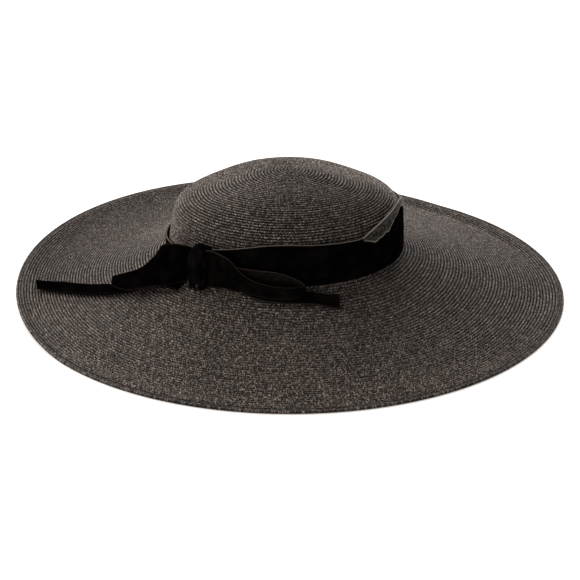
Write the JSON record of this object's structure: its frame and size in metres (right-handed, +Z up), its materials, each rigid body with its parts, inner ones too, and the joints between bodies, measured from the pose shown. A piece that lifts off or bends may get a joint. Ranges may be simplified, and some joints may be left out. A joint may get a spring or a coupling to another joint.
{
  "type": "wide-brim hat",
  "caption": "Women's wide-brim hat of sewn black straw braid: a low oval crown, a broad bell-shaped brim, a velvet ribbon band and a flat bow at the front left.",
  "frame": {"origin": "on the surface that the hat rests on, under the middle of the brim's oval", "axes": "+Z up through the crown; +X along the head's long axis, which is also the brim's longer way; -Y towards the viewer of the bow side"},
  "size_m": [0.47, 0.43, 0.1154],
  "materials": {
    "crown_straw": "sewn rows of dyed and lacquered straw braid, black, semi-gloss",
    "brim_straw": "sewn rows of dyed and lacquered straw braid, black, semi-gloss",
    "edge_straw": "doubled rows of the same braid, black, semi-gloss",
    "band_velvet": "black velvet ribbon with a dull satin back",
    "bow_velvet": "black velvet ribbon"
  },
  "bodies": {
    "root": {"crown": "crown_straw", "brim": "brim_straw", "brim_edge": "edge_straw", "ribbon_band": "band_velvet", "bow_knot": "bow_velvet", "bow_loop_left": "bow_velvet", "bow_loop_right": "bow_velvet", "tail_left": "bow_velvet", "tail_right": "bow_velvet"}
  },
  "joints": []
}
